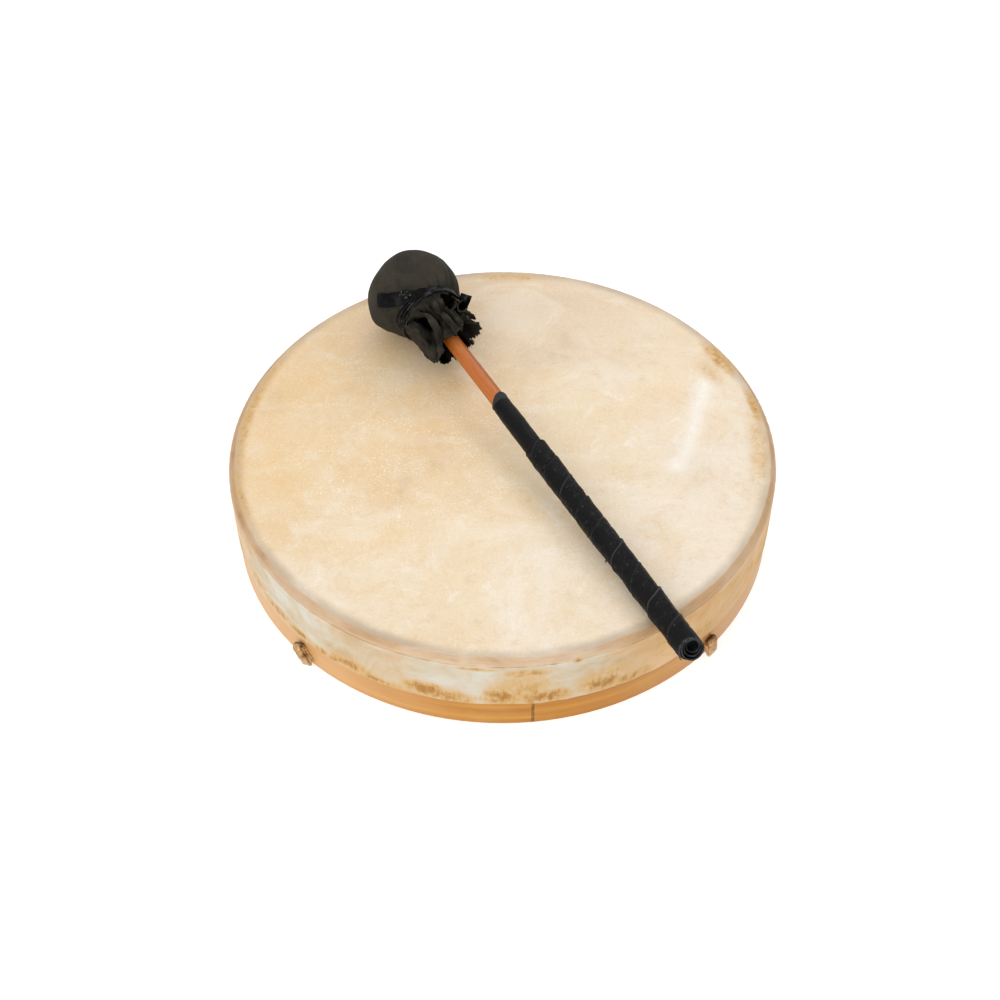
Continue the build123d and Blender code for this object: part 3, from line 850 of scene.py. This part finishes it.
def skirt_curl():
    """Where the skirt's edge has rolled up on itself twice, side by side."""
    t = np.linspace(0, 1, 40)
    wind = 2.35 * math.pi * t
    r = 2.6 + 2.0 * t
    right_eye, left_eye = (4.9, -0.6), (-4.9, -0.8)
    right = right_eye + np.stack([r * np.sin(wind + 0.2), -r * np.cos(wind + 0.2)], axis=1)
    left = left_eye - np.stack([0.95 * r * np.sin(wind - 0.5), 0.9 * r * np.cos(wind - 0.5)], axis=1)
    bridge = spline([left[-1], (-1.2, 1.3), (1.0, 1.6), right[-1]], 14)[1:-1]
    section = np.concatenate([left, bridge, right[::-1]])
    rows = 24
    path = spline([(8.6, 16.8, 30.0), (9.8, 19.4, 37.0), (10.3, 21.4, 43.0), (10.4, 23.8, 48.8)], rows)
    across = np.tile(unit(np.array([0.86, -0.48, 0.10])), (rows, 1))
    tangent = unit(np.gradient(path, axis=0))
    size = np.linspace(0.62, 1.08, rows) + 0.05 * np.sin(np.linspace(0, 7, rows))
    points = carried(path, across, unit(np.cross(tangent, across)), section, size)
    torn = fbm(points[-1], 2.0, 87) * 0.9
    points[-3:] += tangent[-3:, None] * torn[:, None] * np.array([0.3, 0.7, 1.0])[:, None, None]
    verts, faces = thick_grid(shaken(points, 0.45, 4.5, 88), 1.3, wrap_cols=False)
    piece = add_piece("skirt_curl", verts, faces, suede, "beater", "black_suede")
    hem = 0.22 * smooth(0.93, 1, np.repeat(np.linspace(0, 1, rows), len(section)))
    set_value(piece, "wear_and_highlight", np.concatenate([hem, hem[::-1]]))
    # Painted shade inside the rolls
    away = np.minimum(*(np.linalg.norm(section - eye, axis=1) for eye in (right_eye, left_eye)))
    set_value(piece, "inner", np.tile(np.stack([smooth(3.9, 3.1, away), smooth(5.2, 3.8, away)])[:, None],
                                      (1, rows, 1)).ravel())


def sphere_point(towards, lift):
    """The point this far off the ball's surface in the direction of towards."""
    return POUCH_CENTRE + unit(np.asarray(towards, float) - POUCH_CENTRE) * (POUCH_R + lift)


def neck_strap():
    """The flat strap: its cut end on the ball, through the knot and round the neck."""
    on_ball = [(-34.2, 13.6, 8.4), (-31.3, 16.6, 13.6), (-27.4, 19.6, 18.4), (-22.0, 22.8, 22.4)]
    marks = [sphere_point(place, 1.4) for place in on_ball]
    marks += [(-14.0, 25.2, 25.2), (-4.0, 25.4, 27.0)]
    marks += [tie_ring(angle, TIE_ALONG - 0.8, 23.4) for angle in (70, 45, 20, 0)]
    count = 90
    path = spline(marks, count)
    out = path - np.outer(np.linspace(6, TIE_ALONG, count), [0, 0, 1])
    side, up = frames_along(path, out)
    section = oval(1, 1, 24, square=7)
    width = spline([[11], [10.6], [10], [9], [7], [6]], count)
    x = section[:, 0] * width
    y = 1.7 * section[:, 1] + 0.125 * np.sin(0.4 * np.arange(count))[:, None] - 0.02 * x**2
    verts, faces = ring_sweep(path[:, None] + side[:, None] * x[..., None] + up[:, None] * y[..., None])
    piece = add_piece("neck_strap", verts, faces, strap_leather, "beater", "strap_leather", ("tie_strap",))
    set_value(piece, "wear_and_highlight", 0.12 * np.clip(fbm(verts, 5, 91), 0, 1))


def neck_laces():
    """Thin lace wound round the neck, spread on the left and drawn together on the right."""
    angle = np.degrees(circle(160))
    left = bell(turn_between(angle, 158), 58)
    parts = []
    for k, spread in enumerate((-4.4, -1.8, 0.5, 2.8)):
        along = TIE_ALONG + 0.35 + spread * (0.42 + 0.58 * left)
        ball = np.sqrt(np.maximum((POUCH_R + 0.9) ** 2 - (along - POUCH_CENTRE[2]) ** 2, 0))
        drawn_in = 23.9 + 0.35 * np.sin(np.radians(angle * 3 + 80 * k))
        radius = np.maximum(drawn_in, ball * 0.45 * left + 24 * (1 - 0.45 * left))
        path = tie_ring(angle, along, radius)
        parts.append(sweep(path, path - [0, 0, TIE_ALONG], oval(2.1, 1.9, 12), closed=True))
    verts, faces = join_parts(parts)
    piece = add_piece("neck_laces", verts, faces, lace_leather, "beater", "strap_leather", ("tie_lace",))
    set_value(piece, "wear_and_highlight", 0.30 * np.clip(fbm(verts, 3, 93) - 0.1, 0, 1))


def neck_knot():
    """The lace knotted over the strap."""
    middle = sphere_point((-19.6, 24.6, 22.2), 2.4)
    out = unit(middle - POUCH_CENTRE)
    along = unit(np.cross(out, np.cross((0.55, 0.1, 0.8), out)))
    across = np.cross(out, along)
    turn = circle(60)
    parts = []
    for lean, size, lift in ((0.5, 2.7, 0.0), (-0.6, 2.3, 0.7)):
        loop = (middle + np.outer(np.cos(turn) * size, along + lean * across)
                + np.outer(np.sin(turn) * size * 0.62, across - lean * along)
                + np.outer(lift + 0.9 * np.sin(2 * turn + lean), out))
        parts.append(sweep(loop, out, oval(1.9, 1.6, 12), closed=True))
    stub = [middle - 1.5 * along, middle + 1.5 * along + 1.6 * out, middle + 4.8 * along + 1.2 * across]
    parts.append(sweep(spline(stub, 20), out, oval(2.1, 1.5, 12)))
    verts, faces = join_parts(parts)
    piece = add_piece("neck_knot", verts, faces, lace_leather, "beater", "strap_leather", ("tie_knot",))
    # Pale patches on the knot: rubbed wear and painted glints
    set_value(piece, "wear_and_highlight", 0.9 * np.clip(fbm(verts, 1.6, 95), 0, 1))


def tail_tab():
    """The strap's other end, folded and standing up at the side of the neck."""
    path = spline([(20.0, 0.5, 31.0), (22.9, 4.0, 33.6), (25.6, 7.0, 33.0), (28.6, 9.8, 30.8)], 26)
    section = oval(8.4, 1.7, 28, square=7)
    section[:, 1] += 0.20 * np.clip(section[:, 0] - 0.2, 0, None) ** 2
    verts, faces = sweep(path, (-0.34, 0.62, 0.70), section)
    piece = add_piece("tail_tab", verts, faces, strap_leather, "beater", "strap_leather", ("strap_tail",))
    # Rubbed pale along the fold
    fold = bell(np.tile(section[:, 0], len(path)) - 0.4, 0.45)
    set_value(piece, "wear_and_highlight", 0.15 * np.clip(fbm(verts, 2.5, 97), 0, 1) + 0.75 * fold)


def stick():
    rows = 90
    angle = circle(40)
    along = np.concatenate([[-17.8, -17.2, -16], np.linspace(-14, BEATER_LEN - 7.0, rows)])[:, None]
    size = np.concatenate([[0.72, 0.9, 0.98], np.ones(rows)])[:, None]
    r = (STICK_R - 0.1) * size * (1 + 0.006 * np.cos(2 * angle + along / 60))
    r = r + 0.05 * np.sin(3 * angle + along / 23)
    verts, faces = ring_sweep(turned(r, angle, along), flip=True)
    add_piece("stick", verts, faces, stick_stain, "beater", "stick_wood", ("beater_stick",))


def sleeve():
    """Leather glued round the stick, its start cut on a curve."""
    angle = circle(96)
    cut = SLEEVE_START + 1.6 * np.cos(angle + 2.2) - 1.3 * np.cos(2 * (angle - 1.4))
    edge = [(STICK_R + 0.05, 0.3), (STICK_R + 0.5, -0.1), (SLEEVE_R - 0.25, 0.05), (SLEEVE_R, 0.45)]
    lip = [turned(r, angle, cut + ahead) for r, ahead in edge]
    along = cut + 0.45 + np.linspace(0.012, 1, 80)[:, None] * (196 - cut)
    place = turned(SLEEVE_R, angle, along)
    past_lap = (angle - 3.9 + 0.012 * (along - 130)) % TAU
    lap = 0.45 * smooth(0.0, 0.10, past_lap) * smooth(2.4, 0.6, past_lap)
    r = SLEEVE_R - 0.2 + lap + 0.22 * fbm(place * [1, 1, 0.5], 7, 101) + 0.10 * fbm(place, 2.2, 103)
    verts, faces = ring_sweep(np.concatenate([lip, turned(r, angle, along)]), flip=True)
    piece = add_piece("sleeve", verts, faces, leather, "beater", "wrap_leather", ("handle_sleeve",))
    # The cut start is paler: the raw edge, with a painted highlight along it
    at_cut = (verts[:, 2] < SLEEVE_START + 4) & (np.hypot(verts[:, 0], verts[:, 1]) > 6.6)
    set_value(piece, "wear_and_highlight", 0.2 * at_cut)


WRAP_END = BEATER_LEN - 7.5
# Each turn's lapping edge: how far along it lies on the side that faces up, how far it runs down
# the strip in going round, how proud it stands and how pale its cut edge shows
WRAP_TURNS = [
    (184, 17, 0.70, 0.25), (203, 14, 0.35, 0.10), (224, 16, 0.45, 0.45), (246, 15, 0.70, 0.12),
    (266, 13, 0.35, 0.15), (290, 15, 0.85, 0.60), (312, 15, 0.40, 0.15), (334, 13, 0.95, 0.70),
    (357, 10, 0.55, 0.25),
]


def handle_wrap():
    """Strip leather wound in lapping turns, lumpy where one turn ends over the next."""
    cols, rows = 120, 330
    start = WRAP_TURNS[0][0] - 3
    a, s = np.meshgrid(circle(cols), np.linspace(start, WRAP_END, rows))
    place = turned(9, a, s)
    # An edge runs down the strip as it goes round: later on the left than on the right
    lead = turn_between(np.degrees(a), 113) / 180
    sway = 3.4 * fbm(place * [0.5, 0.5, 0.25], 16, 111)
    r = np.full(a.shape, 8.35)
    edge_line = np.zeros(a.shape)
    for middle, slope, lift, pale in WRAP_TURNS:
        past = s - (middle + slope * lead + sway)
        step = smooth(-0.5, 0.5, past) * np.exp(-np.clip(past, 0, None) / 15)
        r = r + lift * step - 0.25 * bell(past + 0.9, 0.9)
        edge_line = np.maximum(edge_line, pale * bell(past - 0.5, 0.35))
    waist = 0.9 * bell(s - 303, 7) + 0.5 * bell(s - 252, 6)
    r = r - waist * (0.6 + 0.4 * np.cos(a - math.radians(200)))
    r = r + 0.30 * fbm(place, 11, 113) + 0.14 * fbm(place * [1, 1, 0.6], 2.6, 117)
    # Fine creases run along each turn
    slant = place - lead[..., None] * [0, 0, 9]
    r = r + 0.16 * fbm(slant * [0.35, 0.35, 1.4], 2.4, 119)
    r = np.clip(r, 7.5, 9.6) * smooth(start - 1.5, start + 0.6, s) ** 0.2
    tube = ring_sweep(np.concatenate([turned(6.9, a[:1], start), turned(r, a, s)]), flip=True)
    # Corners of the strip and a thread stand off its left side and the butt
    left = turned(1, math.radians(203), 0)
    roots = [left * 7.8 + [0, 0, end] for end in (262, 263, 286, 287)] + [(-8.7, -2.0, BEATER_LEN + 1.0)]
    headings = [left + [0, 0, lean] for lean in (1.0, 0.6, 0.9, 0.5)] + [(0.1, -0.9, 0.35)]
    fibres = threads(roots, headings, [2.4, 2.0, 2.2, 1.9, 7.5], 0.9, 175)
    verts, faces = join_parts([tube, fibres])
    piece = add_piece("wrap", verts, faces, leather, "beater", "wrap_leather", ("handle_wrap",))
    # Pale cut edges and scratches: raw edges and rubbed wear, with painted highlights along them
    wear_and_highlight = np.zeros(len(verts))
    scratch = 0.22 * smooth(0.55, 1.1, fbm(slant * [0.5, 0.5, 1.6], 1.4, 127))
    wear_and_highlight[cols:cols * (rows + 1)] = (edge_line + scratch).ravel()
    set_value(piece, "wear_and_highlight", wear_and_highlight)


def butt_coil():
    """The strip's last turns, coiled over the stick's end and left hollow towards the upper side."""
    turns = 3.4
    t = np.linspace(0, 1, int(turns * 96))
    a = t * turns * TAU + 0.9
    r = 3.9 + (9.35 - 3.9) * t + 0.06 * np.sin(a * 1.3)
    # The face is cut on a slant, and the turns crowd together where the hollow is
    face_slope = np.array([0.20, -0.46])
    face_top = BEATER_LEN + 2.6
    low = BEATER_LEN - 10.0
    x = r * np.cos(a) + 1.3 * (1 - t)
    y = r * np.sin(a) + 2.6 * (1 - t)
    top = face_top + face_slope[0] * x + face_slope[1] * y - 1.2 * (1 - t)
    top = top + 0.30 * np.sin(a * 0.9 + 1) + 0.12 * np.sin(a * 4.1)
    levels = np.linspace(0, 1, 14)[:, None]
    points = np.stack(np.broadcast_arrays(x, y, low + (top - low) * levels), axis=-1)
    points = points + grid_normals(points, False) * 0.18 * fbm(points, 3.0, 131)[..., None]
    coil = thick_grid(points, 0.85, wrap_cols=False)
    # A solid core closes the hollow, and is painted black as the shade inside it
    ring = turned(1, circle(40), 0)
    core = [q * ring + [0, 0, low + dz] for q, dz in ((7.2, -4), (8.3, -2), (8.7, 0))]
    for q, sink in ((8.7, 0.4), (7.0, 1.4), (3.0, 3.4)):
        core.append(turned(q, circle(40), BEATER_LEN - sink + q * ring[:, :2] @ face_slope))
    verts, faces = join_parts([coil, ring_sweep(core)])
    piece = add_piece("butt_coil", verts, faces, leather, "beater", "wrap_leather", ("butt_roll",))
    in_coil = np.arange(len(verts)) < len(coil[0])
    past_face = verts[:, 2] - (face_top + verts[:, :2] @ face_slope)
    lit = 0.45 * smooth(-1.3, -0.3, past_face) * np.clip(0.7 + 0.6 * fbm(verts, 1.6, 133), 0, 1)
    set_value(piece, "wear_and_highlight", lit * in_coil)
    set_value(piece, "inner", 1.0 - in_coil)


# ---- knots, thongs and lashing ---------------------------------------------------------------

# Each knot's angle round the hoop and its tilt
KNOTS = {"front_left": (-44, 36), "front_right": (46, 6), "back_right": (135, -30), "back_left": (-134, 24)}
# A knot's strip, from its start under the fold to its end inside it: across, up and out from the hoop
KNOT_FOLD = [
    (0.0, -6.0, 0.8), (0.2, 0.0, 0.9), (0.4, 5.6, 1.2), (0.2, 8.0, 3.0), (0.0, 5.6, 4.9), (-0.2, -1.5, 5.0),
    (0.2, -7.2, 4.6), (0.3, -8.7, 3.3), (0.0, -6.0, 2.6), (0.0, 0.0, 2.9), (0.0, 5.4, 3.0),
]


def stop_knot(name, angle, tilt):
    """Rawhide strip folded over itself outside the hoop, with the thong's end held in it."""
    out = polar(1, angle)
    side = np.cross([0, 0, 1], out)
    lean = math.radians(tilt)
    tall = np.array([0, 0, 1]) * math.cos(lean) - side * math.sin(lean)
    wide = np.cross(tall, out)
    axes = np.stack([wide, tall, out])
    base = polar(HOOP_R, angle, THONG_Z)
    path = spline(base + (np.array(KNOT_FOLD) - [0, 0, 0.2]) @ axes, 70)
    # The strip's width stays across the knot as it turns over
    side = np.tile(wide, (len(path), 1))
    up = unit(np.cross(unit(np.gradient(path, axis=0)), side))
    verts, faces = ring_sweep(carried(path, side, up, oval(8.6, 2.0, 26, square=5)))
    verts = shaken(verts, 0.45, 3.4, 141)
    # Kept off the hoop and the ground
    reach = np.hypot(verts[:, 0], verts[:, 1])
    verts[:, :2] *= (np.maximum(reach, HOOP_R + 0.05) / reach)[:, None]
    verts[:, 2] = np.maximum(verts[:, 2], 0.6)
    piece = add_piece(f"knot_{name}", verts, faces, strip_hide, "drum", "rawhide_thong",
                      (f"stop_knot_{name}",))
    _, above, off = axes @ (verts - base).T
    # Darker at the top against the hoop: a brown stain, with painted shade where the strip goes in
    set_value(piece, "stain", smooth(3.0, 7.5, above) * smooth(4.6, 2.0, off) * 0.9)
    set_value(piece, "wear_and_highlight", smooth(-1, -6, above) * 0.5)


def grip_thong(name, angle, bow):
    """Two rawhide strands twisted together, bowed up or down where the thongs cross."""
    t = np.linspace(-1, 1, 160)
    path = np.outer(-t, polar(HOOP_R + 1.0, angle))
    path[:, 2] = THONG_Z + bow * (1 - t**2)
    side, up = frames_along(path, (0, 0, 1))
    twist = np.linspace(0, TAU * 400 / 17, len(path))[:, None]
    parts = []
    for phase in (0, math.pi):
        strand = path + 1.15 * (np.cos(twist + phase) * side + np.sin(twist + phase) * up)
        parts.append(sweep(strand, up, oval(3.1, 2.6, 12)))
    verts, faces = join_parts(parts)
    add_piece(f"thong_{name}", shaken(verts, 0.12, 4, 151), faces, strip_hide, "drum", "rawhide_thong",
              (f"grip_thong_{name}",))


def grip_lashing():
    """Rawhide wound over and under the crossing thongs."""
    turn = circle(44)
    parts = []
    for quarter in range(4):
        along = turned(1, math.radians(quarter * 90), 0)
        across = np.cross([0, 0, 1], along)
        for k in range(5):
            loop = (np.array([0, 0, THONG_Z]) + along * (3.0 + 2.55 * k)
                    + np.outer(np.cos(turn) * (4.6 + 0.9 * k), across)
                    + np.outer(np.sin(turn) * (5.6 - 0.34 * k), [0, 0, 1])
                    + np.outer(0.7 * np.cos(turn), along))
            parts.append(sweep(loop, along, oval(2.7, 1.5, 10), closed=True))
    verts, faces = join_parts(parts)
    add_piece("lashing", shaken(verts, 0.18, 4, 161), faces, strip_hide, "drum", "rawhide_thong",
              ("grip_lashing",))


# ---- the scene -------------------------------------------------------------------------------

def make_camera():
    aim = Vector((-1.918, 0.0, 8.306)) * MM
    distance, elevation, roll = 1220.2 * MM, 0.8295, -0.0054
    back = Vector((0, -math.cos(elevation), math.sin(elevation)))
    data = bpy.data.cameras.new("camera")
    data.sensor_width = 36.0
    data.lens = 57.746
    data.clip_start, data.clip_end = 0.05, 50
    camera = bpy.data.objects.new("camera", data)
    bpy.context.scene.collection.objects.link(camera)
    camera.rotation_mode = "QUATERNION"
    camera.location = aim + back * distance
    turn = (-back).to_track_quat("-Z", "Y").to_matrix() @ Matrix.Rotation(roll, 3, "Z")
    camera.rotation_quaternion = turn.to_quaternion()
    bpy.context.scene.camera = camera


# Soft lights: name, place, what they point at, size in metres, power in watts
LIGHTS = [
    ("top_light", (-0.15, -0.1, 1.5), (0, 0, 0.05), 2.8, 11.5),
    ("back_light", (0.42, 1.35, 1.45), (0.1, 0, 0.07), 0.6, 4.5),
    ("front_light", (-0.7, -1.4, 0.9), (0, 0, 0.04), 1.6, 10.0),
]
SKY = 0.58
FLOOR_HALF = 6.0
FLOOR_GLOW = 0.68       # lifts the pale floor to the photo's plain white


def make_studio():
    world = bpy.data.worlds.new("studio")
    world.use_nodes = True
    world.node_tree.nodes["Background"].inputs["Color"].default_value = (1, 1, 1, 1)
    world.node_tree.nodes["Background"].inputs["Strength"].default_value = SKY
    bpy.context.scene.world = world
    bpy.context.scene.view_settings.view_transform = "Standard"
    for name, place, aim, size, power in LIGHTS:
        data = bpy.data.lights.new(name, "AREA")
        data.size, data.energy = size, power
        light = bpy.data.objects.new(name, data)
        light.location = place
        light.rotation_mode = "QUATERNION"
        light.rotation_quaternion = (Vector(aim) - Vector(place)).to_track_quat("-Z", "Y")
        bpy.context.scene.collection.objects.link(light)
    white = Paint("floor_white", roughness=0.9)
    white.set("Emission Color", (255, 255, 255))
    white.set("Emission Strength", FLOOR_GLOW)
    corners = [(x * FLOOR_HALF, y * FLOOR_HALF, 0) for x, y in ((-1, -1), (1, -1), (1, 1), (-1, 1))]
    mesh = bpy.data.meshes.new("floor")
    mesh.from_pydata(corners, [], [(0, 1, 2, 3)])
    mesh.materials.append(white.finish((188, 188, 188)))
    floor = bpy.data.objects.new("floor", mesh)
    floor.location = (0, 0, cad_low.z - 0.0002)
    bpy.context.scene.collection.objects.link(floor)


make_camera()
make_studio()
hide = rawhide_head()
suede = black_suede()
leather = black_leather("black_leather", 0.42, 0.13)
strap_leather = black_leather("strap_leather", 0.36, 0.05)
lace_leather = black_leather("lace_leather", 0.26, 0.12)
stick_stain = stick_wood()
strip_hide = rawhide_strip()
drum_hide()
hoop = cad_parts["shell_hoop"]
hoop.data.materials.clear()
hoop.data.materials.append(hoop_wood())
for knot, (place, tilt) in KNOTS.items():
    stop_knot(knot, place, tilt)
grip_thong("lower", -45, -3.0)
grip_thong("upper", 46, 3.0)
grip_lashing()
for build in (ball_cover, cover_skirt, skirt_curl, neck_strap, neck_laces, neck_knot, tail_tab, stick,
              sleeve, handle_wrap, butt_coil):
    build()
